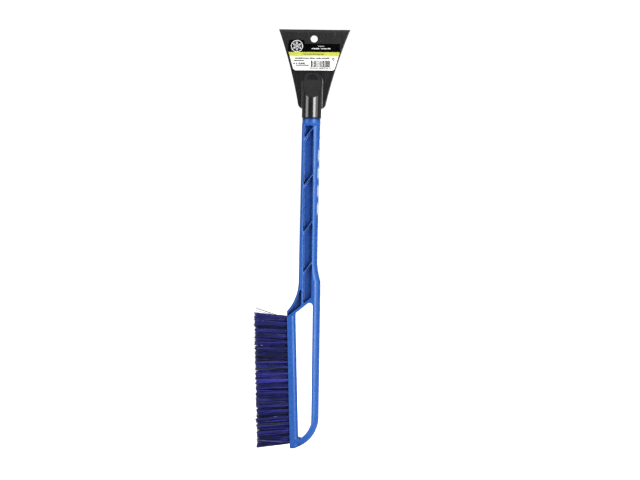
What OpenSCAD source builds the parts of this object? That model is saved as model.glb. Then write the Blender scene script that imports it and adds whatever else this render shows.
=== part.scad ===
// Snow brush with a fixed scraper head.
// Frame: X across the blade (bristles point to -X), Y through the thickness (front is -Y),
// Z up along the handle. The origin is the centre of the hang hole, halfway through the blade.
// Positions below are measured from the shaft's axis, and on_axis() moves each part to the frame.

/* [Scraper blade] */
// Width of the scraping edge
blade_w = 113; // [104:0.5:122]
// Width at the shoulders, just above the socket
shoulder_w = 44.8; // [42:0.2:50]
// Distance from the scraping edge down to the shoulders
blade_h = 116; // [112:0.5:120]
// Blade thickness
blade_t = 3.2; // [2.4:0.1:4]
// Radius of the gently hollowed blade sides
side_r = 760; // [600:10:2000]
// Height of the bevel at the scraping edge
bevel_h = 3.6; // [2:0.1:5]
// Thickness left at the scraping edge
edge_t = 1.0; // [0.6:0.1:1.6]
// Hang hole diameter
hang_d = 10.8; // [7:0.1:11]
// Distance from the scraping edge down to the hang hole centre
hang_drop = 15; // [14:0.1:16]
// Sideways lean of the scraping edge
blade_lean = 2; // [0:0.1:2.4]
// Rise of the scraping edge towards the palm side
edge_rise = 1.1; // [0:0.1:1.4]

/* [Scraper socket] */
// Outside diameter of the socket
socket_d = 31.6; // [31:0.1:33]
// Bore of the socket
bore_d = 25.4; // [25:0.1:26]
// Depth of the bore
bore_l = 33; // [31:0.1:33.5]
// Distance from the hang hole to the open end of the socket
socket_drop = 126.3; // [125:0.1:128]

/* [Shaft] */
// Width of the shaft
shaft_w = 29; // [28:0.1:29.6]
// Thickness of the whole handle
handle_d = 22.2; // [21.6:0.1:23]
// Thickness of the web between the two pockets
web_t = 3; // [2:0.1:4]
// Thickness of the diagonal ribs
rib_t = 1.8; // [1.2:0.1:2.4]
// Angle of the diagonal ribs from level
rib_angle = 54; // [50:0.5:58]
// Spacing of the diagonal ribs
rib_pitch = 74.4; // [70:0.1:78]
// Spacing of the finger grooves
finger_pitch = 28; // [26:0.1:29]
// Depth of the finger grooves
finger_depth = 1.1; // [0.8:0.1:1.4]

/* [Grip loop and block] */
// Width of the grip bar
bar_w = 12.2; // [11.6:0.1:13]
// Sideways step from the shaft to the grip bar
bar_shift = 5.9; // [5.4:0.1:6.4]
// Outside radius of the rounded lower end
end_r = 50; // [49:0.1:52]
// Thickness of the bristle block
block_t = 13.9; // [13.4:0.1:14.4]
// Inward lean of the bristle block
block_tilt = 2.45; // [2.2:0.01:2.7]

/* [Bristles] */
// Spacing of tufts along a row
tuft_pitch = 9.8; // [9.4:0.05:9.9]
// Spacing of the rows
row_pitch = 4.9; // [4.85:0.05:5]
// Diameter of a tuft at the block
tuft_d = 4.8; // [4.4:0.1:4.9]
// Diameter of a tuft at its tip
tip_d = 6.6; // [5:0.1:6.7]
// Free length of the bristles
trim = 50.5; // [44:0.5:52]
// Depth of the tuft holes
hole_l = 11; // [9:0.1:12]
// Lean of the end tufts away from the middle
fan = 5; // [0:0.5:6]

/* [Label] */
// Width of the label across its band
label_w = 81.5; // [74:0.5:82]
// Thickness of the label
label_t = 0.2; // [0.1:0.05:0.4]
// Turn of the label on the blade
label_turn = 0.8; // [-1:0.1:1]

/* [Hidden] */
$fn = 96;
eps = 0.5;                                  // how far a cutter runs past the surface it cuts
hole_at = [1.5, -1.1];                      // hang hole beside the shaft's axis
edge_z = hang_drop + hole_at[1];            // level of the scraping edge
shoulder_z = edge_z - blade_h;              // level of the shoulders
shoulder_r = 9.8;                           // rounding of the shoulders
fit_gap = 0.2;                              // clearance between spigot and bore
tube_r = socket_d / 2;
dome_z = -70.5;                             // centre of the boss's round top
crest_z = -93.5;                            // where the boss's hollow runs out on the tube
hollow_r = 36;                              // radius of that hollow, seen from the side
hollow_turn = 37;                           // how far it turns, from 45 degrees towards upright
facet_z = -65.5;                            // where the boss meets its steeper top slope
facet_y = 4.5;                              // half thickness of the boss there
toe_z = -52;                                // where the top slope has sunk into the blade
window_z = -112;                            // level of the snap window
window = [9, 7.4];                          // width and height of the snap window
tooth_rise = 2.2;                           // how far the tooth stands off the spigot
spigot_r = bore_d / 2 - fit_gap;
spigot_top = -socket_drop + bore_l - 0.8;
collar_z = -socket_drop - 0.4;              // top of the handle's collar
collar_r = 14.7;
collar_l = 7.4;
blend_l = 9;                                // cone from the collar to the shaft
half = handle_d / 2;
nose_r = half + 0.1;                        // rounding of the palm side
shaft_l = -14.8;                            // left edge of the shaft
nose_x = shaft_l + shaft_w - nose_r;        // centre line of the palm rounding
chamfer = 3;                                // edge break on the left of the shaft
s_turn = 17;                                // turn of each bend in the sideways step
heel_r = 8.7;                               // radius of its lower bend, along the centre line
step_r = bar_shift / (1 - cos(s_turn)) - heel_r;
step_z = -347;                              // top of the sideways step
step_end = step_z - step_r * sin(s_turn);   // where its upper bend runs into the lower
grip_z = step_end - heel_r * sin(s_turn);    // top of the grip bar
grip_x = nose_x + bar_shift;
grip_lean = 0.38;                           // lean of the grip bar
end_z = -598.5;                             // centre level of the rounded end
end_turn = 74;                              // how far the rounded end turns
lip = 0.06;                                 // growth of one length of the palm over the next
lap = 0.5;                                  // run of one length into the next
lap_turn = 0.6;                             // the same for a bend
end_x = grip_x + (grip_z - end_z) * tan(grip_lean) + nose_r - end_r;
foot_z = -646.8;                            // bottom of the handle
inner_x = nose_r - bar_w;                   // inner face of the bar from its centre line
flare_r = 72.7;                             // hollow curve from the shaft to the block
flare_z = -384;                             // where that curve leaves the shaft
block_at = [-32.3, -434];                   // upper corner of the bristle face
block_l = 219;                              // length of the bristle face
block_r = 6.6;                              // rounding of the block towards the loop
bar_angle = 39.7;                           // slope of the bar above the loop
loop_corner = [-18, -433.8];                // upper left corner of the loop
brace_t = 4.5;                              // width of the sloping bar
corner_web_t = 13;                          // thickness of the web in the loop's lower corner
pocket_top = -138.4;
pocket_l = -10.4;
pocket_r = 3.1;
rib_drop = -148;                            // level of the first rib
ribs = [0, 1, 2, 2.87];                     // rib positions in rib spacings
rib_sink = 0.8;                             // ribs stop this far below the face
gusset = 3.2;                               // small fillet plate under each rib's lower end
finger_top = -185;
fingers = 4;
groove_r = 74;                              // radius of one groove along the handle
groove_turn = 22.9;                         // turn of each groove towards its face
groove_l = 12.7;                            // length of a groove's cutter across the palm
tufts = 21;
rows = 4;
first_tuft = 7.2;                           // distance of the first tuft from the block's corner
hole_gap = 0.1;                             // clearance around a tuft in its hole
anchor = [1.6, 4.6, 0.4];                   // flat wire anchor: along the tuft, across, thickness
anchor_up = 1.2;                            // filament folded under the anchor
label_top = -8.7;
label_h = 42;
label_shoulder = 12.5;                      // upright part of the label's sides
label_slope = 16.5;                         // slope of the label's sides
label_r = 4.5;
tab = [24.5, 6.2];                          // raised tab at the label's upper left
tab_r = 3;
black = [0.14, 0.14, 0.15];
blue = [0.15, 0.34, 0.72];
navy = [0.1, 0.1, 0.3];
steel = [0.6, 0.6, 0.62];

// Moves a part drawn about the shaft's axis to the frame of the hang hole.
module on_axis() {
  translate([-hole_at[0], 0, -hole_at[1]])
    children();
}

// Stands a flat XZ outline up, centred on Y.
module plate(t) {
  rotate([90, 0, 0])
    linear_extrude(t, center = true)
      children();
}

// The same feature on the front and the back.
module both_faces() {
  children();
  mirror([0, 1, 0])
    children();
}

// ---- scraper head ----

// Corner of the scraping edge on side s.
function top_corner(s) = [blade_lean + s * blade_w / 2, edge_z + s * edge_rise / 2];

// Circle that hollows one side of the blade.
module side_circle(s) {
  top = top_corner(s);
  low = [s * shoulder_w / 2, shoulder_z];
  chord = norm(top - low);
  out = s * [top[1] - low[1], low[0] - top[0]] / chord;
  reach = sqrt(side_r * side_r - chord * chord / 4);
  translate((top + low) / 2 + out * reach)
    circle(r = side_r, $fn = 256);
}

module blade_outline() {
  difference() {
    polygon([
      top_corner(-1) - [2, 2 * edge_rise / blade_w],
      top_corner(1) + [2, 2 * edge_rise / blade_w],
      [shoulder_w / 2 + 2, shoulder_z],
      [-shoulder_w / 2 - 2, shoulder_z]
    ]);
    side_circle(1);
    side_circle(-1);
  }
}

module blade() {
  plate(blade_t)
    blade_outline();
  for (s = [-1, 1])
    translate([s * (shoulder_w / 2 - shoulder_r), 0, shoulder_z])
      rotate([90, 0, 0])
        cylinder(r = shoulder_r, h = blade_t, center = true);
}

// Front and back of the boss, hollowed above the tube.
module boss_slopes() {
  c = [tube_r, crest_z] + hollow_r * [cos(45), sin(45)];
  both_faces()
    rotate([90, 0, 90])
      linear_extrude(2 * socket_d, center = true)
        polygon(concat(
          [
            [-lap, -socket_drop - eps],
            [tube_r + 1, -socket_drop - eps],
            [tube_r + 1, crest_z - 1]
          ],
          arc(c, hollow_r, 225, 225 - hollow_turn, 10),
          [[facet_y, facet_z], [0.6, toe_z], [-lap, toe_z]]
        ));
}

module boss() {
  intersection() {
    union() {
      translate([0, 0, -socket_drop])
        cylinder(r = tube_r, h = socket_drop + dome_z);
      translate([0, 0, dome_z])
        sphere(r = tube_r);
    }
    boss_slopes();
  }
}

// Wedge cut from one face to leave the scraping edge. Its slope runs past both surfaces it meets.
module edge_bevel() {
  past = 0.3 * [(blade_t - edge_t) / 2, bevel_h];
  translate([blade_lean, 0, edge_z])
    rotate([0, -atan(edge_rise / blade_w), 0])
      rotate([90, 0, 90])
        linear_extrude(blade_w + 10, center = true)
          polygon([
            [-blade_t / 2, -bevel_h] - past,
            [-edge_t / 2, 0] + past,
            [-blade_t / 2 - past[0], past[1]]
          ]);
}

module scraper_head() {
  color(black)
    on_axis()
      difference() {
        union() {
          blade();
          boss();
        }
        both_faces()
          edge_bevel();
        translate([hole_at[0], 0, hole_at[1]])
          rotate([90, 0, 0])
            cylinder(d = hang_d, h = blade_t + 2, center = true);
        translate([0, 0, -socket_drop - eps])
          cylinder(d = bore_d, h = bore_l + eps);
        translate([-window[0] / 2, bore_d / 4, window_z - window[1] / 2])
          cube([window[0], tube_r, window[1]]);
      }
}

// ---- handle ----

// Spigot, snap tooth, collar and the cone that leads into the shaft.
module spigot() {
  difference() {
    union() {
      translate([0, 0, collar_z - eps])
        cylinder(r = spigot_r, h = spigot_top - collar_z + eps);
      translate([-3.7, bore_d / 4, window_z - 2.9])
        cube([7.4, spigot_r - bore_d / 4 + tooth_rise, 5.8]);
    }
    translate([0, 0, collar_z + 4])
      cylinder(r = spigot_r - 3, h = spigot_top - collar_z);
  }
  translate([0, 0, collar_z - collar_l])
    cylinder(r = collar_r, h = collar_l);
  translate([0, 0, collar_z - collar_l - blend_l])
    cylinder(r1 = half - 1, r2 = collar_r, h = blend_l);
}

// Flat-faced part of the shaft, edges broken on the side away from the palm.
module shaft_section() {
  polygon([
    [nose_x, -half],
    [nose_x, half],
    [shaft_l + chamfer, half],
    [shaft_l, half - chamfer],
    [shaft_l, -half + chamfer],
    [shaft_l + chamfer, -half]
  ]);
}

// Cross-section of the grip bar around its centre line, cut flat on the inner side.
// Lengths that follow each other differ by one lip, and the thinner runs a little way into the next.
module bar_section(lips) {
  intersection() {
    circle(r = nose_r + lips * lip);
    translate([inner_x - 1 - lips * lip, -2 * nose_r])
      square(4 * nose_r);
  }
}

// Straight palm rounding of the shaft.
module palm_bar() {
  translate([nose_x, 0, step_z - lap])
    linear_extrude(collar_z - collar_l - step_z + lap)
      bar_section(0);
}

// The two bends that step sideways from the shaft to the grip bar.
module sideways_step() {
  translate([nose_x + step_r, 0, step_z])
    rotate([90, 0, 0])
      rotate([0, 0, 180])
        rotate_extrude(angle = s_turn + lap_turn)
          translate([step_r, 0])
            mirror([1, 0])
              bar_section(1);
  translate([grip_x - heel_r, 0, grip_z])
    rotate([90, 0, 0])
      rotate_extrude(angle = s_turn)
        translate([heel_r, 0])
          bar_section(2);
}

module grip_bar() {
  translate([grip_x, 0, grip_z])
    rotate([0, 180 - grip_lean, 0])
      mirror([1, 0, 0])
        translate([0, 0, -lap])
          linear_extrude((grip_z - end_z) / cos(grip_lean) + lap)
            bar_section(1);
}

// The rounded lower end of the loop, running into the block.
module loop_end() {
  intersection() {
    translate([end_x, 0, end_z])
      rotate([90, 0, 0])
        rotate([0, 0, -end_turn])
          rotate_extrude(angle = end_turn + lap_turn)
            translate([end_r - nose_r, 0])
              bar_section(0);
    translate([-20, -handle_d, foot_z])
      cube([60, 2 * handle_d, 60]);
  }
}

// Local frame of the block: X into the block, Z up along the bristle face.
module on_block() {
  translate([block_at[0], 0, block_at[1]])
    rotate([0, -block_tilt, 0])
      children();
}

// What the rounded end trims off the block's lower corner.
module block_trim() {
  corner = [-19, -665];                     // well outside the lower end of the block
  span = [16, 45];
  lap = 0.3;                                // how far the cut stays off the outer bend
  plate(3 * handle_d)
    difference() {
      translate(corner)
        square(span);
      translate([end_x, end_z])
        circle(r = end_r - lap, $fn = 160);
    }
}

module block() {
  difference() {
    whole_block();
    block_trim();
  }
}

module whole_block() {
  intersection() {
    on_block()
      translate([0, 0, -block_l])
        linear_extrude(block_l) {
          translate([0, -half])
            square([block_t - block_r, handle_d]);
          translate([block_t - block_r - 1, -half + block_r])
            square([block_r + 1, handle_d - 2 * block_r]);
          for (s = [-1, 1])
            translate([block_t - block_r - 0.1, s * (half - block_r)])
              circle(r = block_r + 0.06);
        }
    translate([-40, -handle_d, foot_z])
      cube([80, 2 * handle_d, 260]);
  }
}

// Set-back web that rounds the lower corner of the loop's opening.
module corner_web() {
  c = [-6.5, -625.6];                       // middle of the rounded corner of the opening
  r = 4.3;
  turn = [176, 312];                        // where the rounding starts and ends
  into_bend = 8;                            // reaches into the bar from the middle
  in_block = [[-16, -640], [-15, c[1] + 0.3]];
  plate(corner_web_t)
    polygon(concat(
      arc(c, r, turn[0], turn[1], 12),
      [c + into_bend * [cos(turn[1]), sin(turn[1])]],
      in_block
    ));
}

// Flared neck between the shaft, the block and the grip bar.
module neck() {
  plate(handle_d)
    difference() {
      polygon([
        [shaft_l + chamfer + 1, step_z],
        [nose_x, step_z],
        [nose_x + step_r * (1 - cos(s_turn / 2)), step_z - step_r * sin(s_turn / 2)],
        [grip_x - heel_r * (1 - cos(s_turn)), step_end],
        [grip_x, grip_z],
        [grip_x, loop_corner[1] - 4],
        [loop_corner[0] - 0.6, loop_corner[1] - 4],
        block_at + [0.17, -4],
        block_at,
        [block_at[0], flare_z],
        [shaft_l, flare_z],
        [shaft_l + chamfer + 1, flare_z]
      ]);
      translate([shaft_l - flare_r, flare_z])
        circle(r = flare_r, $fn = 192);
    }
}

// Edge break that follows the flare.
module flare_break() {
  translate([shaft_l - flare_r, 0, flare_z])
    rotate([90, 0, 0])
      rotate([0, 0, -50])
        rotate_extrude(angle = 50 + lap_turn, $fn = 192)
          polygon([
            [flare_r - 1, half + 1],
            [flare_r - 1, half - chamfer - 1 - lip],
            [flare_r + chamfer + 1 + lip, half + 1]
          ]);
}

// Points along an arc.
function arc(c, r, a0, a1, n) =
  [for (i = [0 : n]) c + r * [cos(a0 + (a1 - a0) * i / n), sin(a0 + (a1 - a0) * i / n)]];

// Opening of the loop.
module loop_outline() {
  corner = loop_corner + [-0.2, 0];
  right = grip_x + inner_x;
  lean = tan(grip_lean);
  round_r = 5;
  knee = right + (grip_z - loop_corner[1]) * lean;
  knee_z = corner[1] + (knee - corner[0]) * tan(bar_angle);
  back = round_r / tan((90 - bar_angle) / 2);
  foot_r = end_r - bar_w + 1.2;
  difference() {
    polygon(concat(
      [corner],
      arc([knee - round_r, knee_z - back], round_r, 90 + bar_angle, 0, 8),
      [
        [knee + (knee_z - end_z) * lean, end_z],
        [knee + 1, foot_z],
        [corner[0] + (corner[1] - foot_z) * tan(block_tilt), foot_z]
      ]
    ));
    difference() {
      translate([-40, foot_z - 5])
        square([80, end_z - foot_z + 5]);
      translate([end_x, end_z])
        circle(r = foot_r, $fn = 160);
    }
  }
}

// Main pocket, seen from the front.
module pocket_outline() {
  slope = tan(bar_angle);
  low_l = -6.7;
  low_r = 5.8;
  brace = loop_corner[1] - loop_corner[0] * slope + brace_t / cos(bar_angle);
  polygon([
    [pocket_l, pocket_top],
    [pocket_r, pocket_top],
    [low_r, brace + low_r * slope],
    [low_l, brace + low_l * slope],
    [pocket_l, -250]
  ]);
}

// Triangular pocket in the neck.
module neck_pocket_outline() {
  slope = tan(bar_angle);
  wall = 3.2;
  upright = -10.3;
  top = -397;
  brace = loop_corner[1] - loop_corner[0] * slope + brace_t / cos(bar_angle);
  difference() {
    polygon([
      [upright, top],
      [upright, brace + upright * slope],
      [-34, brace - 34 * slope],
      [-34, top]
    ]);
    translate([shaft_l - flare_r, flare_z])
      circle(r = flare_r + wall, $fn = 192);
  }
}

// Diagonal ribs left standing in the main pocket.
module ribs_outline() {
  for (k = ribs)
    translate([-2.2 + k * 0.5, rib_drop - k * rib_pitch]) {
      rotate(rib_angle)
        square([40, rib_t], center = true);
      polygon([
        [-12, -12 * tan(rib_angle)],
        [-4.6, -4.6 * tan(rib_angle)],
        [-4.6 - gusset / 2, -4.6 * tan(rib_angle) - gusset - 3],
        [-12, -12 * tan(rib_angle) - gusset - 3]
      ]);
    }
}

module pockets() {
  both_faces()
    rotate([90, 0, 0]) {
      difference() {
        translate([0, 0, web_t / 2])
          linear_extrude(half)
            pocket_outline();
        translate([0, 0, web_t / 4])
          linear_extrude(half - rib_sink - web_t / 4)
            ribs_outline();
      }
      translate([0, 0, web_t / 2])
        linear_extrude(half)
          neck_pocket_outline();
    }
}

// One finger groove on the front half of the palm side, a shallow scoop that ends at the middle.
module finger_groove() {
  translate([nose_x, 0, 0])
    rotate([0, 0, -groove_turn])
      translate([nose_r - finger_depth + groove_r, -groove_l / 8, 0])
        rotate([90, 0, 0])
          cylinder(r = groove_r, h = groove_l, center = true, $fn = 256);
}

// Places its children at every tuft of one row, Z pointing out along the bristles.
module each_tuft(row) {
  offset_z = row % 2 == 0 ? tuft_pitch / 2 : 0;
  count = row % 2 == 0 ? tufts - 1 : tufts;
  for (k = [0 : count - 1]) {
    down = first_tuft + offset_z + k * tuft_pitch;
    lean = fan * (1 - 2 * (down - first_tuft) / ((tufts - 1) * tuft_pitch));
    on_block()
      translate([0, (row - (rows + 1) / 2) * row_pitch, -down])
        rotate([0, -90 + lean, 0])
          children();
  }
}

// Palm rounding of the whole handle, from the collar to the lower end.
module palm() {
  palm_bar();
  sideways_step();
  grip_bar();
  loop_end();
}

// Everything between the palm rounding and the left side.
module core() {
  difference() {
    union() {
      translate([0, 0, flare_z])
        linear_extrude(collar_z - collar_l - flare_z)
          shaft_section();
      neck();
    }
    both_faces()
      flare_break();
  }
}

module handle() {
  color(blue)
    on_axis()
      difference() {
        union() {
          difference() {
            union() {
              palm();
              core();
              block();
              spigot();
            }
            plate(2 * handle_d)
              loop_outline();
          }
          corner_web();
        }
        pockets();
        for (k = [0 : fingers - 1])
          translate([0, 0, finger_top - k * finger_pitch])
            both_faces()
              finger_groove();
        for (row = [1 : rows])
          each_tuft(row)
            translate([0, 0, -hole_l])
              cylinder(d = tuft_d + 2 * hole_gap, h = hole_l + 4, $fn = 32);
      }
}

// ---- bristles ----

module tuft() {
  difference() {
    rotate_extrude($fn = 32)
      polygon([
        [0, -hole_l + hole_gap],
        [tuft_d / 2, -hole_l + hole_gap],
        [tuft_d / 2, 0],
        [tip_d / 2, trim],
        [0, trim]
      ]);
    translate([-anchor[2] / 2 - 0.1, -tuft_d, -hole_l + anchor_up])
      cube([anchor[2] + 0.2, 2 * tuft_d, anchor[0] + 0.2]);
  }
}

module tufts_row(row) {
  color(navy)
    on_axis()
      each_tuft(row)
        tuft();
}

module anchors_row(row) {
  color(steel)
    on_axis()
      each_tuft(row)
        translate([-anchor[2] / 2, -anchor[1] / 2, -hole_l + anchor_up + 0.1])
          cube([anchor[2], anchor[1], anchor[0]]);
}

module tufts_row_1() {
  tufts_row(1);
}

module tufts_row_2() {
  tufts_row(2);
}

module tufts_row_3() {
  tufts_row(3);
}

module tufts_row_4() {
  tufts_row(4);
}

module anchors_row_1() {
  anchors_row(1);
}

module anchors_row_2() {
  anchors_row(2);
}

module anchors_row_3() {
  anchors_row(3);
}

module anchors_row_4() {
  anchors_row(4);
}

// ---- label ----

module label_outline() {
  w = label_w / 2;
  foot = w - (label_h - label_shoulder) * tan(label_slope);
  back = label_r / tan((90 + label_slope) / 2);
  low = -label_h + label_r;
  tab_l = -w + 1;
  tab_c = tab[1] - tab_r;
  polygon(concat(
    [[w, 0], [w, -label_shoulder]],
    arc([foot - back, low], label_r, -label_slope, -90, 8),
    arc([back - foot, low], label_r, -90, -180 + label_slope, 8),
    [[-w, -label_shoulder], [-w, 0], [tab_l, 0]],
    arc([tab_l + tab_r, tab_c], tab_r, 180, 90, 6),
    arc([tab_l + tab[0] - tab_r, tab_c], tab_r, 90, 0, 6),
    [[tab_l + tab[0], 0]]
  ));
}

module label() {
  color("white")
    translate([1.6 - hole_at[0], -blade_t / 2 - label_t / 2, label_top - hole_at[1]])
      rotate([0, -label_turn, 0])
        plate(label_t)
          label_outline();
}

scraper_head();
handle();
label();
tufts_row_1();
tufts_row_2();
tufts_row_3();
tufts_row_4();
anchors_row_1();
anchors_row_2();
anchors_row_3();
anchors_row_4();
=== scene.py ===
"""Looks of the snow brush with a scraper head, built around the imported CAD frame. Metres, +Z up."""

import math
import random

import bmesh
import bpy
import numpy as np
from mathutils import Matrix, Vector


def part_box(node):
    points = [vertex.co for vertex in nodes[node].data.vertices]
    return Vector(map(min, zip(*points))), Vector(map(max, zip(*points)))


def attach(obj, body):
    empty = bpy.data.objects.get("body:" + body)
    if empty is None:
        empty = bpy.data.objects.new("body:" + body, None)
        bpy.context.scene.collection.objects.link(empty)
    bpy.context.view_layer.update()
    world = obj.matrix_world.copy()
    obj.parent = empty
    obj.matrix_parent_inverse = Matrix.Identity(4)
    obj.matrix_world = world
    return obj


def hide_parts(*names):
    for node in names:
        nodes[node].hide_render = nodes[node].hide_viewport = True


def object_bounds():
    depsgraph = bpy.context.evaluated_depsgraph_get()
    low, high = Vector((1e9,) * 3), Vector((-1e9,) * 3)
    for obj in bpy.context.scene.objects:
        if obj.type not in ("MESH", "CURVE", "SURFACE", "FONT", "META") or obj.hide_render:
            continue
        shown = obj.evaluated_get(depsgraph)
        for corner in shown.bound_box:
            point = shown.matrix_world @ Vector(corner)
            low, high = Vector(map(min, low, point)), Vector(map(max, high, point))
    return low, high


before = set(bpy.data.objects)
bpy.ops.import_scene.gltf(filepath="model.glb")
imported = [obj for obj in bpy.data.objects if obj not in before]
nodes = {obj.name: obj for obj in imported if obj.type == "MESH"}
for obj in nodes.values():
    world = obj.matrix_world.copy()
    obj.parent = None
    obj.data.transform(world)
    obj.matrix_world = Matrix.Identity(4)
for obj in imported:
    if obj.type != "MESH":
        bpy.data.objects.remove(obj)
cad_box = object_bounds()
MM = 0.001
SAME_POINT = 2e-6                   # CAD mesh points this close count as one, in metres


def mesh_points(node):
    """The points of a CAD node's mesh, in metres."""
    return np.array([v.co for v in nodes[node].data.vertices])


# places in the frame, in millimetres
HEAD_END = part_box("scraper_head")[0].z / MM         # the scraper head's open end
HEAD_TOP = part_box("scraper_head")[1].z / MM         # the scraping edge
PALM_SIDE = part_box("handle")[1].x / MM              # the handle's side away from the bristles
handle_points = mesh_points("handle")
spigot_end = handle_points[handle_points[:, 2] > handle_points[:, 2].max() - SAME_POINT]
SHAFT_X = float(spigot_end[:, 0].min() + spigot_end[:, 0].max()) / 2 / MM       # the shaft's axis


# ---- helpers ----


class Graph:
    """A node tree whose nodes are added and joined by small helper calls."""

    def __init__(self, tree):
        self.tree = tree

    def add(self, kind, **props):
        node = self.tree.nodes.new(kind)
        for key, value in props.items():
            setattr(node, key, value)
        return node

    def put(self, socket, value):
        """Joins an output to the socket, or sets the socket's own value."""
        if isinstance(value, bpy.types.NodeSocket):
            self.tree.links.new(value, socket)
        elif socket.type == "RGBA":
            socket.default_value = (*value, 1)
        else:
            socket.default_value = value

    def math(self, op, a, b=0.0):
        node = self.add("ShaderNodeMath", operation=op)
        self.put(node.inputs[0], a)
        self.put(node.inputs[1], b)
        return node.outputs[0]

    def times(self, first, *others):
        """The product of its arguments."""
        product = first
        for other in others:
            product = self.math("MULTIPLY", product, other)
        return product

    def step(self, value, low, high, a=0.0, b=1.0, curve="SMOOTHSTEP"):
        """a below low, b above high, and the curve between them."""
        node = self.add("ShaderNodeMapRange", interpolation_type=curve)
        inputs = {"Value": value, "From Min": low, "From Max": high, "To Min": a, "To Max": b}
        for key, v in inputs.items():
            self.put(node.inputs[key], v)
        return node.outputs[0]


class Shade(Graph):
    """A Principled material. x, y and z are the shaded point, in millimetres."""

    FLAT = 0.5                      # pointiness of a flat face
    AO_SAMPLES = 8

    def __init__(self, name):
        self.mat = bpy.data.materials.new(name)
        self.mat.use_nodes = True
        super().__init__(self.mat.node_tree)
        self.bsdf = self.tree.nodes["Principled BSDF"]
        where = self.add("ShaderNodeTexCoord")
        scaled = self.add("ShaderNodeVectorMath", operation="SCALE")
        self.put(scaled.inputs[0], where.outputs["Object"])
        self.put(scaled.inputs["Scale"], 1 / MM)
        self.mm = scaled.outputs[0]
        split = self.add("ShaderNodeSeparateXYZ")
        self.put(split.inputs[0], self.mm)
        self.x, self.y, self.z = split.outputs

    def set(self, **inputs):
        """Sets inputs of the Principled node, with an underscore for each space in a name."""
        for key, value in inputs.items():
            self.put(self.bsdf.inputs[key.replace("_", " ")], value)

    def mix(self, share, a, b):
        """The colour a where share is 0 and b where it is 1."""
        node = self.add("ShaderNodeMix", data_type="RGBA")
        share_in, a_in, b_in = node.inputs[0], node.inputs[6], node.inputs[7]
        self.put(share_in, share)
        self.put(a_in, a)
        self.put(b_in, b)
        return node.outputs[2]

    def noise(self, size, detail=3, stretch=(1, 1, 1)):
        """Noise whose features are about size millimetres across, stretched along the axes."""
        mapping = self.add("ShaderNodeVectorMath", operation="MULTIPLY")
        self.put(mapping.inputs[0], self.mm)
        self.put(mapping.inputs[1], [1 / (size * s) for s in stretch])
        node = self.add("ShaderNodeTexNoise")
        self.put(node.inputs["Vector"], mapping.outputs[0])
        self.put(node.inputs["Scale"], 1.0)
        self.put(node.inputs["Detail"], detail)
        return node.outputs["Fac"]

    def patches(self, size, low=0.3, high=0.7, least=0.0, most=1.0, detail=3, stretch=(1, 1, 1)):
        """Soft patches: least where the noise is below low and most where it is above high."""
        return self.step(self.noise(size, detail, stretch), low, high, least, most)

    def edges(self, sharp=0.56):
        """1 on outer edges of at least this pointiness, 0 on flat faces."""
        geometry = self.add("ShaderNodeNewGeometry")
        return self.step(geometry.outputs["Pointiness"], self.FLAT, sharp)

    def openness(self, reach_mm):
        """1 on open faces, falling towards 0 deep inside corners and pockets."""
        node = self.add("ShaderNodeAmbientOcclusion", samples=self.AO_SAMPLES)
        self.put(node.inputs["Distance"], reach_mm * MM)
        return node.outputs["AO"]

    def bump(self, height, depth_mm, strength):
        node = self.add("ShaderNodeBump")
        self.put(node.inputs["Height"], height)
        self.put(node.inputs["Distance"], depth_mm * MM)
        self.put(node.inputs["Strength"], strength)
        self.put(self.bsdf.inputs["Normal"], node.outputs[0])


def dress(obj, mat):
    """The object wears this material alone."""
    obj.data.materials.clear()
    obj.data.materials.append(mat)


def place(name, data):
    """A new object of the scene."""
    obj = bpy.data.objects.new(name, data)
    bpy.context.scene.collection.objects.link(obj)
    return obj


# ---- materials: colours are linear RGB, lengths and levels are millimetres ----

SCOOP_PITCH = 28                    # spacing of the finger scoops
SCOOP_DROP = 58.8                   # first scoop's middle below the head's open end
SCOOPS = 4
PALM_IN = 11.0                      # the shaft's palm side lies this far in from the handle's


def scoops(s):
    """1 in the finger scoops on the front of the shaft's palm side, where their painted reflection
    goes.
    """
    rim_start, rim_full = PALM_SIDE - PALM_IN + 0.3, PALM_SIDE - PALM_IN + 1.6
    middle = HEAD_END - SCOOP_DROP
    top = middle + SCOOP_PITCH / 2
    bottom = top - SCOOPS * SCOOP_PITCH
    blur = 0.5                      # of the outer ends of the first and last scoop
    front_full, front_end = -0.6, 0.2
    ridge, hollow = -1.1, 0.5       # on a wave that is 1 in a scoop's middle and -1 between scoops

    inside = s.step(s.x, rim_start, rim_full)
    phase = s.math("DIVIDE", s.math("SUBTRACT", s.z, middle), SCOOP_PITCH)
    wave = s.math("COSINE", s.times(phase, 2 * math.pi))
    above_bottom = s.step(s.z, bottom - blur, bottom + blur)
    below_top = s.step(s.z, top - blur, top + blur, 1.0, 0.0)
    front = s.step(s.y, front_full, front_end, 1.0, 0.0)
    return s.times(inside, above_bottom, below_top, s.step(wave, ridge, hollow), front)


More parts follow.
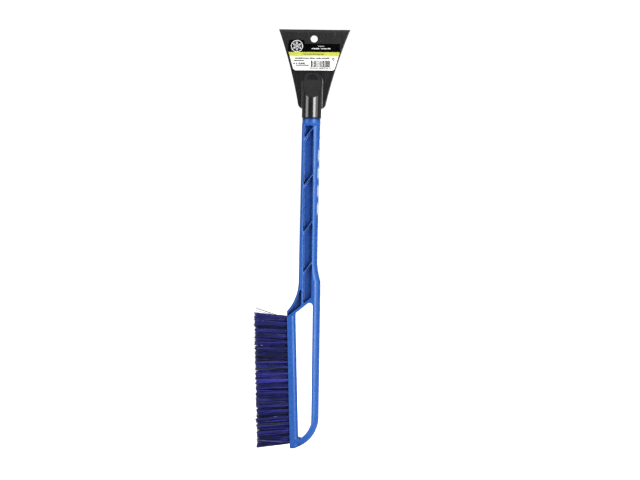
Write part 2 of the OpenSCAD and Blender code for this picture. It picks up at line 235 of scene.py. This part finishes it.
def handle_plastic():
    """Glossy blue moulded plastic: cloudy pigment, light orange peel, a parting line and scuffs, with
    painted shade in the pockets and under the socket and a painted reflection in the finger scoops.
    """
    dark, light = (0.012, 0.075, 0.33), (0.017, 0.088, 0.37)
    flow_tone, flow_share = (0.025, 0.120, 0.45), 0.2
    # painted shade: a darker blue deep in the pockets and corners, where little light reaches
    pocket_shade_tone, pocket_reach, pocket_deep, pocket_open = (0.002, 0.020, 0.19), 14, 0.3, 0.85
    # painted shadow: a dark band on the collar just under the scraper head's socket
    socket_shadow_tone, socket_shadow_share = (0.004, 0.016, 0.11), 0.9
    socket_shadow_start, socket_shadow_full = HEAD_END - 3.3, HEAD_END - 2.1
    worn_tone, worn_share, worn_rough = (0.07, 0.20, 0.50), 0.3, 0.12
    # of the painted reflection in the finger scoops, by how glancing the view is
    reflection_start, reflection_full, reflection_least = 0.08, 0.32, 0.1
    facing_tone, facing_end = (0.66, 0.76, 0.90), 0.3
    glancing_tone, glancing_full = (0.42, 0.52, 0.68), 0.6
    seam_half, seam_end = 0.12, 0.3
    peel_size, peel_height = 0.9, 0.35

    s = Shade("blue_moulded_plastic")
    base = s.mix(s.patches(38, low=0.35, high=0.65, stretch=(1, 1, 3)), dark, light)
    flow = s.patches(5, low=0.5, high=0.72, detail=4, stretch=(1, 1, 9))
    base = s.mix(s.times(flow, flow_share), base, flow_tone)
    # painted shade in the pockets and corners, by how enclosed each point is
    base = s.mix(s.step(s.openness(pocket_reach), pocket_deep, pocket_open), pocket_shade_tone, base)
    # painted shadow on the collar under the socket
    base = s.mix(s.step(s.z, socket_shadow_start, socket_shadow_full, 0.0, socket_shadow_share), base, socket_shadow_tone)
    worn = s.times(s.edges(), s.patches(3, low=0.35, high=0.6, detail=4))
    base = s.mix(s.times(worn, worn_share), base, worn_tone)
    # painted reflection: the finger scoops turn pale where they are seen at a glancing angle
    scoop_reflection_mask = s.times(scoops(s), s.patches(4, low=0.2, high=0.5, least=0.75))
    glance = s.add("ShaderNodeLayerWeight").outputs["Facing"]
    painted_reflection = s.times(scoop_reflection_mask, s.step(glance, reflection_start, reflection_full, reflection_least, 1.0))
    reflection_tone = s.mix(s.step(glance, facing_end, glancing_full), facing_tone, glancing_tone)
    s.set(Base_Color=s.mix(painted_reflection, base, reflection_tone))
    rough = s.patches(9, least=0.23, most=0.32, detail=5)
    s.set(Roughness=s.math("ADD", rough, s.times(worn, worn_rough)))
    s.set(Specular_IOR_Level=0.5, Specular_Tint=(0.58, 0.81, 1.0))
    seam = s.step(s.math("ABSOLUTE", s.y), seam_half, seam_end, 1.0, 0.0)
    peel = s.times(s.noise(peel_size, detail=2), peel_height)
    s.bump(s.math("ADD", peel, seam), depth_mm=0.05, strength=0.7)
    return s.mat


DOME_RISE = 60.6                    # the middle of the boss's round top above the head's open end
DOME_RADIUS = 9.6
DOME_BLUR = 0.5


def dome(s):
    """1 on the matt round top of the socket boss."""
    across = s.math("SUBTRACT", s.x, SHAFT_X)
    above = s.math("SUBTRACT", s.z, HEAD_END + DOME_RISE)
    out = s.math("SQRT", s.math("ADD", s.times(across, across), s.times(above, above)))
    upper_half = s.step(above, -DOME_BLUR, DOME_BLUR)
    return s.times(upper_half, s.step(out, DOME_RADIUS - 2 * DOME_BLUR, DOME_RADIUS, 1.0, 0.0))


def scraper_plastic():
    """Semi-gloss black plastic with faint draw lines and scratches towards the scraping edge."""
    dark, light = (0.005, 0.005, 0.006), (0.009, 0.009, 0.010)
    blade_tone, blade_start, blade_full = (0.015, 0.015, 0.016), HEAD_TOP - 45, HEAD_TOP - 20
    scratch_tone, scratch_share, scratch_rough = (0.05, 0.05, 0.052), 0.5, 0.2
    scratch_start, scratch_full = HEAD_TOP - 16, HEAD_TOP - 1
    worn_tone, worn_share = (0.03, 0.03, 0.031), 0.4
    line_low, line_high, rough_least, rough_most = 0.3, 0.7, 0.13, 0.2
    gloss, edge_sharp, edge_loss, dome_gloss = 0.95, 0.53, 0.75, 0.45
    line_height, scratch_height = 0.5, -0.6

    s = Shade("black_moulded_plastic")
    base = s.mix(s.patches(22, low=0.35, high=0.65), dark, light)
    base = s.mix(s.step(s.z, blade_start, blade_full), base, blade_tone)
    near_edge = s.step(s.z, scratch_start, scratch_full)
    scratch = s.times(s.patches(0.7, low=0.62, high=0.7, detail=2, stretch=(1, 1, 26)), near_edge)
    base = s.mix(s.times(scratch, scratch_share), base, scratch_tone)
    worn = s.times(s.edges(), s.patches(2.5, low=0.4, high=0.62, detail=4))
    s.set(Base_Color=s.mix(s.times(worn, worn_share), base, worn_tone))
    lines = s.noise(1.1, stretch=(1, 1, 40))
    rough = s.step(lines, line_low, line_high, rough_least, rough_most)
    s.set(Roughness=s.math("ADD", rough, s.times(scratch, scratch_rough)))
    edge_gloss = s.math("SUBTRACT", gloss, s.times(s.edges(edge_sharp), edge_loss))
    s.set(Specular_IOR_Level=s.times(edge_gloss, s.step(dome(s), 0.0, 1.0, 1.0, dome_gloss)))
    height = s.math("ADD", s.times(lines, line_height), s.times(scratch, scratch_height))
    s.bump(height, depth_mm=0.03, strength=0.6)
    return s.mat


def label_paper(height_on):
    """Laminated label: a black band, then a yellow-green band that fades into white."""
    # levels from the top of the wide band, up being positive
    fade_end, fade_start = -22.3, -17.8
    black_end, black_full = -13.3, -13.1
    white_low, white_high = (0.82, 0.82, 0.80), (0.90, 0.90, 0.88)
    green_low, green_high = (0.46, 0.49, 0.055), (0.52, 0.55, 0.075)
    black_low, black_high = (0.001, 0.001, 0.001), (0.003, 0.003, 0.003)
    scuff_tone, scuff_share = (0.6, 0.6, 0.58), 0.02
    paper_gloss, black_gloss = 0.25, 0.0

    s = Shade("printed_label")
    z = height_on(s)
    white = s.mix(s.patches(2.2, detail=5), white_low, white_high)
    green = s.mix(s.patches(6), green_low, green_high)
    black = s.mix(s.patches(5), black_low, black_high)
    base = s.mix(s.step(z, fade_end, fade_start), white, green)
    base = s.mix(s.step(z, black_end, black_full), base, black)
    scuff = s.times(s.patches(1.2, low=0.68, high=0.76, detail=4, stretch=(3, 1, 1)), scuff_share)
    s.set(Base_Color=s.mix(scuff, base, scuff_tone))
    s.set(Specular_IOR_Level=s.step(z, black_end, black_full, paper_gloss, black_gloss))
    s.set(Roughness=s.patches(4, least=0.42, most=0.55, detail=4))
    s.bump(s.noise(7, detail=2, stretch=(1, 1, 1.5)), depth_mm=0.12, strength=0.35)
    return s.mat


def ink(name, dark, light):
    """Printed ink with a slightly uneven tone."""
    s = Shade(name)
    s.set(Base_Color=s.mix(s.patches(0.8, low=0.35, high=0.65), dark, light))
    s.set(Roughness=s.patches(1.5, least=0.4, most=0.5))
    s.bump(s.noise(0.4, detail=2), depth_mm=0.01, strength=0.3)
    return s.mat


def bristle_plastic():
    """Filament plastic: the strand's own colour, paler towards the cut tip."""
    cloud_tone, cloud_share = (0.02, 0.02, 0.06), 0.3
    tip_tone, tip_share, tip_start = (0.06, 0.06, 0.20), 0.3, 0.9

    s = Shade("bristle_filament")
    own = s.add("ShaderNodeAttribute", attribute_name="tint").outputs["Color"]
    along = s.add("ShaderNodeAttribute", attribute_name="along").outputs["Fac"]
    base = s.mix(s.times(s.patches(3, low=0.4), cloud_share), own, cloud_tone)
    tip = s.step(along, tip_start, 1.0)
    s.set(Base_Color=s.mix(s.times(tip, tip_share), base, tip_tone))
    s.set(Roughness=s.patches(1.2, least=0.34, most=0.5), Specular_IOR_Level=0.26)
    s.bump(s.noise(0.35, detail=2, stretch=(6, 1, 1)), depth_mm=0.02, strength=0.4)
    return s.mat


def anchor_steel():
    """Flat steel wire with drawing streaks."""
    dark, light = (0.42, 0.42, 0.44), (0.62, 0.62, 0.64)

    s = Shade("anchor_wire_steel")
    s.set(Base_Color=s.mix(s.patches(0.9, detail=4, stretch=(1, 3, 1)), dark, light), Metallic=1.0)
    s.set(Roughness=s.patches(0.5, least=0.28, most=0.45, stretch=(1, 5, 1)))
    s.bump(s.noise(0.25, detail=2, stretch=(1, 6, 1)), depth_mm=0.01, strength=0.4)
    return s.mat


# ---- CAD nodes that stay, with moulded edge roundings ----


def soften(node, voxel_mm, passes):
    """Rounds a CAD node's edges as a mould does, by modifiers only."""
    obj = nodes[node]
    weld = obj.modifiers.new("weld", "WELD")
    weld.merge_threshold = SAME_POINT
    mesh = obj.modifiers.new("voxels", "REMESH")
    mesh.mode = "VOXEL"
    mesh.voxel_size = voxel_mm * MM * 1
    mesh.use_smooth_shade = True
    smooth = obj.modifiers.new("soften", "SMOOTH")
    smooth.factor = 0.5
    smooth.iterations = passes
    return obj


dress(soften("handle", voxel_mm=0.62, passes=5), handle_plastic())
dress(soften("scraper_head", voxel_mm=0.55, passes=4), scraper_plastic())
steel = anchor_steel()
for name in nodes:
    if name.startswith("anchors_row"):
        dress(nodes[name], steel)


# ---- label and its generic print: u runs right from the label's middle, v up from its band's top ----

LABEL_TURN = math.radians(0.8)
SIDE_STRIP = 1.2                    # the band's top is read within this strip at the right end
PRINT_SUNK = 0.002                  # the print's back lies this far inside the label,
PRINT_PROUD = 0.03                  # and its face this far in front of it

label_lo, label_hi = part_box("label")
label_points = mesh_points("label")
band_right = label_points[label_points[:, 0] > label_hi.x - SIDE_STRIP * MM]
pivot = Vector(((label_lo.x + label_hi.x) / 2, label_lo.y, float(band_right[:, 2].max())))
band_drop = math.sin(LABEL_TURN) * (label_hi.x - label_lo.x) / 2
band_top = pivot.z - band_drop


def label_height(s):
    """Height in millimetres along the turned label, 0 at the top of its wide band."""
    dx = s.math("SUBTRACT", s.x, pivot.x / MM)
    dz = s.math("SUBTRACT", s.z, pivot.z / MM)
    turned = s.math("ADD", s.times(dx, -math.sin(LABEL_TURN)), s.times(dz, math.cos(LABEL_TURN)))
    return s.math("ADD", turned, band_drop / MM)


dress(nodes["label"], label_paper(label_height))


def on_label(u, v, y):
    """The point at u and v on the label, at the depth y."""
    c, t = math.cos(LABEL_TURN), math.sin(LABEL_TURN)
    return (pivot.x + (u * c - v * t) * MM, y, band_top + (u * t + v * c) * MM)


class Print:
    """Thin printed shapes that lie on the label, in millimetres."""

    LETTER, LETTER_GAP, WORD_GAP = (0.5, 1.1), 0.12, 0.5        # widths in shares of a line's height
    LOWEST = 0.6                    # least rise of a letter above the line's middle, as a share
    WORD_CHANCE = 0.14              # that a word gap comes before a letter

    def __init__(self):
        self.bm = bmesh.new()

    def layer(self, outline, y):
        return [self.bm.verts.new(on_label(u, v, y)) for u, v in outline]

    def shape(self, outline):
        back = self.layer(outline, label_lo.y + PRINT_SUNK * MM)
        face = self.layer(outline, label_lo.y - PRINT_PROUD * MM)
        self.bm.faces.new(face)
        self.bm.faces.new(back[::-1])
        n = len(outline)
        for i in range(n):
            self.bm.faces.new([face[i], back[i], back[(i + 1) % n], face[(i + 1) % n]])

    def bar(self, u0, u1, v0, v1):
        self.shape([(u0, v0), (u1, v0), (u1, v1), (u0, v1)])

    def strip(self, a, b, width):
        side = (b - a).normalized().orthogonal() * width / 2
        self.shape([tuple(p) for p in (a - side, b - side, b + side, a + side)])

    def ring(self, u, v, r, width, parts=40):
        for i in range(parts):
            a0, a1 = 2 * math.pi * i / parts, 2 * math.pi * (i + 1) / parts
            corners = ((r, a0), (r, a1), (r - width, a1), (r - width, a0))
            self.shape([(u + q * math.cos(a), v + q * math.sin(a)) for q, a in corners])

    def greeking(self, u0, u1, v, height, rng):
        """A row of small blocks that stands for printed words."""
        u = u0
        while u < u1:
            run = rng.uniform(*self.LETTER) * height
            if rng.random() < self.WORD_CHANCE:
                u += height * self.WORD_GAP
            upper = v + height / 2 * rng.uniform(self.LOWEST, 1)
            self.bar(u, min(u + run, u1), v - height / 2, upper)
            u += run + self.LETTER_GAP * height

    def done(self, name, mat):
        mesh = bpy.data.meshes.new(name)
        bmesh.ops.recalc_face_normals(self.bm, faces=self.bm.faces)
        self.bm.to_mesh(mesh)
        obj = place(name, mesh)
        dress(obj, mat)
        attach(obj, "root")


def direction(angle):
    return Vector((math.cos(angle), math.sin(angle)))


ARMS, FIRST_ARM, ARM_LENGTH, ARM_WIDTH = 6, 30, 7.4, 0.85      # the first arm's angle is in degrees
TWIGS = ((2.8, 2.0), (4.9, 2.3))    # distance along the arm, and length
TWIG_WIDTH, TWIG_TURN = 0.6, 55     # the turn away from the arm is in degrees


def snowflake(sheet, middle):
    """Plain straight arms with pairs of twigs."""
    for arm in range(ARMS):
        a = math.radians(FIRST_ARM + 360 / ARMS * arm)
        sheet.strip(middle, middle + direction(a) * ARM_LENGTH, ARM_WIDTH)
        for reach, twig in TWIGS:
            root = middle + direction(a) * reach
            for turn in (-TWIG_TURN, TWIG_TURN):
                tip = root + direction(a + math.radians(turn)) * twig
                sheet.strip(root, tip, TWIG_WIDTH)


BAR_WIDTHS, BAR_GAPS = (0.9, 1.3, 1.9, 2.6), (0.6, 0.9, 1.5)


def bar_code(sheet, left, right, low, high, rng):
    """Random bars that stand for a bar code."""
    u = left
    while u < right:
        width = rng.choice(BAR_WIDTHS)
        sheet.bar(u, u + width, low, high)
        u += width + rng.choice(BAR_GAPS)


BADGE = (-27.2, -3.8)               # middle of the ring with the snowflake
# left end, right end, level and height of each line of greeking
WHITE_LINES = [
    (6.6, 15.8, -3.8, 0.8),
    (-4.0, 8.4, -7.6, 1.9),
    (10.6, 25.4, -7.6, 1.9),
]
DARK_LINES = [
    (-18.2, 16.2, -16.3, 1.5),
    (-30.6, 24.4, -22.9, 2.4),
    (-32.2, -16.2, -26.6, 2.3),
    (-32.6, -14.2, -30.9, 2.5),
    (-29.6, -8.2, -33.9, 2.0),
    (-7.2, 27.0, -38.5, 1.4),
]

PRINT_SEED = 11
rng = random.Random(PRINT_SEED)
white = Print()
white.ring(*BADGE, r=9.4, width=1.0)
snowflake(white, Vector(BADGE))
for line in WHITE_LINES:
    white.greeking(*line, rng)
white.done("label_print_white", ink("white_ink", (0.62, 0.62, 0.62), (0.78, 0.78, 0.78)))

dark = Print()
for line in DARK_LINES:
    dark.greeking(*line, rng)
bar_code(dark, left=-5.0, right=25.6, low=-37.2, high=-26.6, rng=rng)
dark.ring(30.4, -24.4, r=2.2, width=1.4, parts=20)
dark.done("label_print_black", ink("black_ink", (0.010, 0.010, 0.010), (0.022, 0.022, 0.022)))


# ---- bristles: the numbers below are millimetres, and MM makes them metres ----

STRANDS = [                         # tone of a filament, and how often it comes
    ((0.011, 0.016, 0.110), 0.34),
    ((0.002, 0.002, 0.006), 0.33),
    ((0.024, 0.028, 0.21), 0.18),
    ((0.060, 0.060, 0.50), 0.14),
    ((0.10, 0.12, 0.24), 0.03),
]
CLUMP_STRANDS = STRANDS[:-1]        # no whole clump has the rare grey-blue tone
BRIGHTNESS = (0.75, 1.3)            # range of the factor on a tone

SEGMENTS, SIDES = 8, 4              # of one filament
PER_TUFT, CLUMPS = 72, 9
HOLE = 0.18                         # share of a tuft that sits in its hole
END_RING = 2e-5                     # points this close to a tuft's end belong to it, in metres

CLUMP_OUT, CLUMP_SPREAD = 0.7, 0.36             # shares of the tuft's radius
CLUMP_LEAN, OWN_LEAN = 1.45, 0.5                # sideways at the tip, standard deviations
CLUMP_LONGER, CLUMP_UNEVEN, OWN_UNEVEN = -0.4, 1.2, 0.8
OWN_TONE_CHANCE = 0.48
WAVE, WAVE_TURNS = (0.05, 0.45), (0.5, 1.4)
FULL_TURN = 6.28                    # radians
CUT_CHANCE, CUT_SHORT = 0.1, (1, 5)
FOOT_LIFT, FOOT_IN, TIP_IN = 0.4, 0.02, 0.1     # filaments keep this far inside the CAD tuft
FLARE_END, FLARE_POWER, LEAN_POWER = 0.3, 0.55, 1.5
FILAMENT_RADIUS = (0.2, 0.3)

STRAY_RADIUS = 0.5
STRAY_START, STRAY_REACH = 0.01, 0.97           # shares of the tuft's length
STRAY_FRONT, STRAY_RISE = 0.9, (0.9, 1.1)       # share of the foot's radius, and factor on the rise
STRAY_DRIFT = (0, -0.3, 1)                      # direction of the rise
FRONT_POWER, DRIFT_POWER = 0.5, 1.15
STRAY_DARK = (0.03, 0.035, 0.10)
TOP_STRAYS = [(8.5, STRAY_DARK), (12.0, STRAY_DARK)]        # rise of the tip, and tone
BOTTOM_STRAYS = [(-3.0, (0.10, 0.11, 0.22)), (8.0, (0.14, 0.15, 0.30))]


def islands(node):
    """Point sets of the separate solids of a CAD node."""
    co = mesh_points(node)
    keys = {}
    cells = np.round(co / SAME_POINT).astype(int)
    ident = np.array([keys.setdefault(tuple(k), len(keys)) for k in cells])
    parent = list(range(len(keys)))

    def find(i):
        while parent[i] != i:
            parent[i] = parent[parent[i]]
            i = parent[i]
        return i

    for p in nodes[node].data.polygons:
        first = find(ident[p.vertices[0]])
        for v in p.vertices[1:]:
            parent[find(ident[v])] = first
    groups = {}
    for i, k in enumerate(ident):
        groups.setdefault(find(k), []).append(i)
    return [co[g] for g in groups.values()]


def tuft_axes(points):
    """Foot, tip, foot radius and tip radius of one CAD tuft."""
    centre = points.mean(0)
    way = np.linalg.svd(points - centre)[2][0]
    if way[0] > 0:
        way = -way
    along = (points - centre) @ way
    at_foot, at_tip = along < along.min() + END_RING, along > along.max() - END_RING
    foot, tip = points[at_foot].mean(0), points[at_tip].mean(0)
    way = (tip - foot) / np.linalg.norm(tip - foot)
    off = np.linalg.norm((points - foot) - np.outer((points - foot) @ way, way), axis=1)
    return Vector(foot), Vector(tip), float(off[at_foot].max()), float(off.max())


def pick(rng, strands):
    """A tone drawn by its share, with a random brightness."""
    x, total = rng.random() * sum(share for _, share in strands), 0
    for tone, share in strands:
        total += share
        if x < total:
            break
    k = rng.uniform(*BRIGHTNESS)
    return tuple(c * k for c in tone)


def free_share(t):
    """0 up to the hole's mouth and 1 at the tip, for the share t of a filament's length."""
    return max(0.0, (t - HOLE) / (1 - HOLE))


def strand(build, path, radius, tone):
    """Adds one filament along a list of points."""
    verts, faces, tints, alongs = build
    first = len(verts)
    for i, p in enumerate(path):
        ahead = (path[min(i + 1, len(path) - 1)] - path[max(i - 1, 0)]).normalized()
        side = ahead.orthogonal().normalized()
        up = ahead.cross(side)
        for k in range(SIDES):
            a = 2 * math.pi * k / SIDES
            verts.append(p + (side * math.cos(a) + up * math.sin(a)) * radius)
            tints.append((*tone, 1))
            alongs.append(i / (len(path) - 1))
    for i in range(len(path) - 1):
        for k in range(SIDES):
            a, b = first + i * SIDES + k, first + i * SIDES + (k + 1) % SIDES
            faces.append((a, b, b + SIDES, a + SIDES))
    faces.append(tuple(range(first, first + SIDES))[::-1])
    last = first + (len(path) - 1) * SIDES
    faces.append(tuple(range(last, last + SIDES)))


def fill_tuft(build, points, rng):
    """Fills one CAD tuft with clumps of filaments that share a tone and lean together."""
    foot, tip, foot_r, tip_r = tuft_axes(points)
    way = (tip - foot).normalized()
    across = way.orthogonal().normalized()
    up = way.cross(across)
    length = (tip - foot).length

    def around(angle):
        return across * math.cos(angle) + up * math.sin(angle)

    def scatter(spread):
        return across * rng.gauss(0, spread) + up * rng.gauss(0, spread)

    turn = rng.uniform(0, 2 * math.pi)
    clumps = []
    for c in range(CLUMPS):
        # the first clump stands straight in the middle, and the others ring it
        out = around(turn + 2 * math.pi * c / (CLUMPS - 1)) * (CLUMP_OUT if c else 0.0)
        lean = scatter(CLUMP_LEAN) * (MM if c else 0.0)
        longer = rng.gauss(CLUMP_LONGER, CLUMP_UNEVEN) * MM
        clumps.append((out, lean, longer, pick(rng, CLUMP_STRANDS)))
    for k in range(PER_TUFT):
        out, lean, longer, tone = clumps[k % CLUMPS]
        angle, q = rng.uniform(0, 2 * math.pi), CLUMP_SPREAD * math.sqrt(rng.random())
        out = out + around(angle) * q
        lean = lean + scatter(OWN_LEAN) * MM
        if rng.random() < OWN_TONE_CHANCE:
            tone = pick(rng, STRANDS)
        swirl = scatter(1).normalized()
        wave, phase = rng.uniform(*WAVE) * MM, rng.uniform(0, FULL_TURN)
        turns = rng.uniform(*WAVE_TURNS)
        end = length + longer + rng.gauss(0, OWN_UNEVEN) * MM
        end -= (rng.random() < CUT_CHANCE) * rng.uniform(*CUT_SHORT) * MM
        path = []
        for i in range(SEGMENTS + 1):
            t = i / SEGMENTS
            free = free_share(t)
            flare = min(1.0, free / FLARE_END) ** FLARE_POWER
            r = (foot_r - FOOT_IN * MM) * (1 - flare) + (tip_r - TIP_IN * MM) * flare
            run = FOOT_LIFT * MM + (end - FOOT_LIFT * MM) * t
            p = foot + way * run + out * r + lean * free**LEAN_POWER
            path.append(p + swirl * (wave * free * math.sin(phase + FULL_TURN * turns * t)))
        strand(build, path, rng.uniform(*FILAMENT_RADIUS) * MM, tone)


def strays(build, points, kinds, rng):
    """Single filaments that stand off one CAD tuft, one for each rise and tone."""
    foot, tip, foot_r, _ = tuft_axes(points)
    front = Vector((0, -STRAY_FRONT * foot_r, 0))
    for rise, tone in kinds:
        drift = Vector(STRAY_DRIFT) * rise * rng.uniform(*STRAY_RISE) * MM
        path = []
        for i in range(SEGMENTS + 1):
            t = i / SEGMENTS
            free = free_share(t)
            p = foot.lerp(tip, STRAY_START + STRAY_REACH * t)
            path.append(p + front * free**FRONT_POWER + drift * free**DRIFT_POWER)
        strand(build, path, STRAY_RADIUS * MM, tone)


def bristles(row, seed, with_strays, mat):
    """Separate filaments in place of one CAD row of tufts."""
    rng = random.Random(seed)
    build = ([], [], [], [])
    node, name = f"tufts_row_{row}", f"bristles_row_{row}"
    tufts = sorted(islands(node), key=lambda p: -p[:, 2].mean())
    for points in tufts:
        fill_tuft(build, points, rng)
    if with_strays:
        strays(build, tufts[0], TOP_STRAYS, rng)
        strays(build, tufts[-1], BOTTOM_STRAYS, rng)
    verts, faces, tints, alongs = build
    mesh = bpy.data.meshes.new(name)
    mesh.from_pydata(verts, [], faces)
    mesh.attributes.new("tint", "FLOAT_COLOR", "POINT").data.foreach_set("color", np.ravel(tints))
    mesh.attributes.new("along", "FLOAT", "POINT").data.foreach_set("value", alongs)
    for p in mesh.polygons:
        p.use_smooth = True
    obj = place(name, mesh)
    dress(obj, mat)
    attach(obj, "root")
    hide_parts(node)


SEED = 320                          # the row's number is added to it
filament = bristle_plastic()
for row in (1, 2, 3, 4):
    bristles(row, SEED + row, with_strays=row in (1, 3), mat=filament)


# ---- stage, light and camera, in metres ----

FLOOR_HALF, FLOOR_GAP = 30.0, 0.002


def stage_material():
    """Pale floor that the camera sees as plain white and that bounces soft light."""
    s = Shade("studio_floor")
    tone = s.mix(s.patches(400, detail=2), (0.90, 0.90, 0.90), (0.93, 0.93, 0.93))
    s.set(Base_Color=tone, Roughness=0.9, Emission_Color=(1, 1, 1))
    s.set(Emission_Strength=s.add("ShaderNodeLightPath").outputs["Is Camera Ray"])
    return s.mat


floor_mesh = bpy.data.meshes.new("floor")
floor_z = cad_box[0].z - FLOOR_GAP
far = FLOOR_HALF
floor_mesh.from_pydata(
    [(-far, -far, floor_z), (far, -far, floor_z), (far, far, floor_z), (-far, far, floor_z)],
    [],
    [(0, 1, 2, 3)],
)
floor = place("floor", floor_mesh)
dress(floor, stage_material())


def studio_world():
    """White to the camera; as light, a grey room that is brighter behind the object and high up."""
    all_white, seen_strength = (1, 1, 1), 1.05
    # of the direction's Y and Z: low, high, and the strength at each
    behind = (-0.2, 0.9, 0.09, 0.32)
    high_up = (0.12, 0.26, 0.0, 0.3)

    world = bpy.data.worlds.new("studio")
    world.use_nodes = True
    g = Graph(world.node_tree)
    g.tree.nodes.clear()
    split = g.add("ShaderNodeSeparateXYZ")
    g.put(split.inputs[0], g.add("ShaderNodeTexCoord").outputs["Generated"])
    strength = g.math(
        "ADD",
        g.step(split.outputs["Y"], *behind, curve="LINEAR"),
        g.step(split.outputs["Z"], *high_up),
    )
    room, seen = g.add("ShaderNodeBackground"), g.add("ShaderNodeBackground")
    g.put(room.inputs["Color"], all_white)
    g.put(room.inputs["Strength"], strength)
    g.put(seen.inputs["Color"], all_white)
    g.put(seen.inputs["Strength"], seen_strength)
    mix = g.add("ShaderNodeMixShader")
    g.put(mix.inputs[0], g.add("ShaderNodeLightPath").outputs["Is Camera Ray"])
    g.put(mix.inputs[1], room.outputs[0])
    g.put(mix.inputs[2], seen.outputs[0])
    g.put(g.add("ShaderNodeOutputWorld").inputs["Surface"], mix.outputs[0])
    return world


bpy.context.scene.world = studio_world()
bpy.context.scene.view_settings.view_transform = "Standard"

centre = (cad_box[0] + cad_box[1]) / 2


def softbox(name, azimuth, elevation, distance, size, watts):
    """An area light aimed at the object; azimuth is measured from the front, positive to the right."""
    data = bpy.data.lights.new(name, "AREA")
    data.shape = "RECTANGLE"
    data.size, data.size_y = size
    data.energy = watts
    obj = place(name, data)
    a, e = math.radians(azimuth), math.radians(elevation)
    way = Vector((math.sin(a) * math.cos(e), -math.cos(a) * math.cos(e), math.sin(e)))
    obj.location = centre + way * distance
    obj.visible_camera = False
    obj.rotation_mode = "QUATERNION"
    obj.rotation_quaternion = way.to_track_quat("Z", "Y")


# name, azimuth and elevation in degrees, distance, (width, height), watts
LIGHTS = [
    ("key_right", 30, 2, 1.6, (0.7, 1.15), 24),
    ("side_right", 56, 2, 1.7, (1.0, 1.3), 7),
    ("fill_left", -57, 2, 1.6, (0.85, 1.15), 11),
    ("top_soft", 165, 62, 1.9, (1.6, 1.0), 10),
    ("back_right", 158, 8, 1.8, (0.7, 1.3), 13),
    ("back_left", -165, 8, 1.8, (0.7, 1.3), 6),
]
for light in LIGHTS:
    softbox(*light)

DISTANCE = 3.4
SENSOR = 36                         # in millimetres, as the lens
VIEW_WIDTH = 1.010                  # width seen at the object's depth
ROLL = math.radians(1.24)           # the brush leans this far clockwise in the frame
AIM_RIGHT, AIM_DOWN = 0.0295, 0.0018            # of the object's middle
cam_data = bpy.data.cameras.new("camera")
cam_data.sensor_width = SENSOR
cam_data.lens = SENSOR * DISTANCE / VIEW_WIDTH
camera = place("camera", cam_data)
camera.matrix_world = (
    Matrix.Translation((centre.x + AIM_RIGHT, -DISTANCE, centre.z - AIM_DOWN))
    @ Matrix.Rotation(math.pi / 2, 4, "X")
    @ Matrix.Rotation(ROLL, 4, "Z")
)
bpy.context.scene.camera = camera
